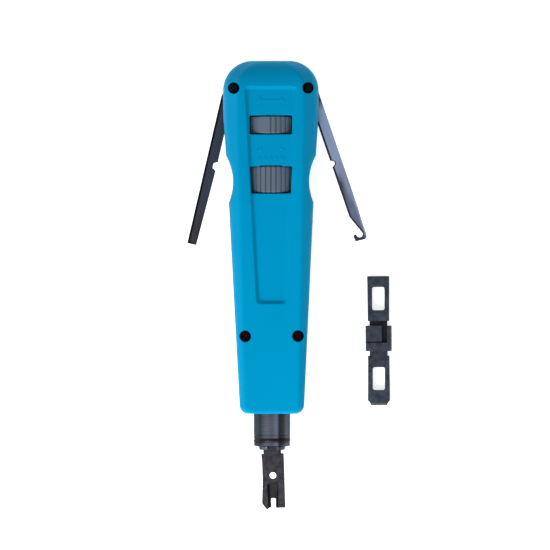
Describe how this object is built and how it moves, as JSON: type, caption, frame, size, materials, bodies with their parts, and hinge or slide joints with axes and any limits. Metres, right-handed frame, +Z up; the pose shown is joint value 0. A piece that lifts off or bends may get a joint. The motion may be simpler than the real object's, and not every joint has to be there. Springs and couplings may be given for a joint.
{
  "type": "punch down tool",
  "caption": "Impact punch down tool with a twist-lock blade, a fold-out spudger and hook, thumb wheels on its front, and a spare double-ended blade.",
  "frame": {"origin": "centre of the handle's flat back face, on which the tool lies", "axes": "+Y along the tool towards its head, +Z up out of its front with the wheel windows, +X across it towards the hook"},
  "size_m": [0.0793, 0.174, 0.024],
  "materials": {
    "blue_plastic": "matte, lightly textured blue plastic",
    "grey_plastic": "matte dark grey plastic",
    "arm_steel": "blued spring steel",
    "black_steel": "black oxide",
    "steel": "turned steel",
    "spring_steel": "spring steel",
    "brass": "plain brass"
  },
  "bodies": {
    "handle": {"front_shell": "blue_plastic", "rear_shell": "blue_plastic", "case_screw_left_top": "black_steel", "case_screw_left_low": "black_steel", "case_screw_right_top": "black_steel", "case_screw_right_low": "black_steel", "pivot_bush_left": "brass", "pivot_bush_right": "brass", "spring_washer_left": "spring_steel", "spring_washer_right": "spring_steel", "mechanism_tube": "steel", "tube_cap": "steel", "nose_bush": "brass", "thrust_washer": "steel", "impact_spring": "spring_steel"},
    "spudger_arm": {"spudger": "arm_steel"},
    "hook_arm": {"hook": "arm_steel"},
    "plunger": {"nose_barrel": "arm_steel", "nose_ring": "black_steel", "nose_collar": "arm_steel", "plunger_stem": "steel", "return_spring": "spring_steel"},
    "fitted_blade": {"blade": "black_steel"},
    "hammer_body": {"hammer": "steel", "trip_spring": "spring_steel"},
    "trip": {"trip_block": "steel"},
    "force_adjuster": {"force_wheel": "grey_plastic"},
    "seat": {"spring_seat": "steel"},
    "release": {"release_wheel": "grey_plastic"},
    "kicker": {"kicker_bar": "grey_plastic"},
    "spare": {"spare_blade": "black_steel"}
  },
  "joints": [
    {"name": "spudger_fold", "type": "hinge", "parent": "handle", "child": "spudger_arm", "pos_m": [-0.0144, 0.0577, 0.0125], "axis": [0, 0, 1], "range_deg": [-134.3, 15.7]},
    {"name": "hook_fold", "type": "hinge", "parent": "handle", "child": "hook_arm", "pos_m": [0.0144, 0.0577, 0.0125], "axis": [0, 0, 1], "range_deg": [-21.1, 128.9]},
    {"name": "plunger_slide", "type": "slide", "parent": "handle", "child": "plunger", "axis": [0, 1, 0], "range_m": [0, 0.008], "stiffness_N_per_m": 1500, "springref_m": -0.012, "deforming": ["impact_spring"]},
    {"name": "hammer_slide", "type": "slide", "parent": "handle", "child": "hammer_body", "axis": [0, 1, 0], "range_m": [0, 0.008]},
    {"name": "trip_slide", "type": "slide", "parent": "hammer_body", "child": "trip", "axis": [-1, 0, 0], "range_m": [0, 0.001], "stiffness_N_per_m": 400, "springref_m": -0.001, "deforming": ["trip_spring"]},
    {"name": "blade_twist", "type": "hinge", "parent": "plunger", "child": "fitted_blade", "pos_m": [0, -0.0755, 0.0125], "axis": [0, 1, 0], "range_deg": [0, 90]},
    {"name": "force_wheel_turn", "type": "hinge", "parent": "handle", "child": "force_adjuster", "pos_m": [0, 0.0434, 0.0125], "axis": [0, 1, 0], "range_deg": [0, 720]},
    {"name": "spring_seat_slide", "type": "slide", "parent": "handle", "child": "seat", "axis": [0, -1, 0], "range_m": [0, 0.0025]},
    {"name": "release_wheel_turn", "type": "hinge", "parent": "handle", "child": "release", "pos_m": [0, 0.0223, 0.0125], "axis": [0, -1, 0], "range_deg": [-35, 35]},
    {"name": "kicker_slide", "type": "slide", "parent": "handle", "child": "kicker", "axis": [1, 0, 0], "range_m": [-0.0032, 0.0032]},
    {"name": "spare_blade_lift", "type": "slide", "parent": "handle", "child": "spare", "axis": [0, 0, 1], "range_m": [0, 0.04]}
  ],
  "couplings": [
    {"joint": "hammer_slide", "follows": "plunger_slide", "ratio": 1},
    {"joint": "force_wheel_turn", "follows": "spring_seat_slide", "rad_per_m": 5026.5},
    {"joint": "release_wheel_turn", "follows": "kicker_slide", "rad_per_m": 190.9}
  ]
}
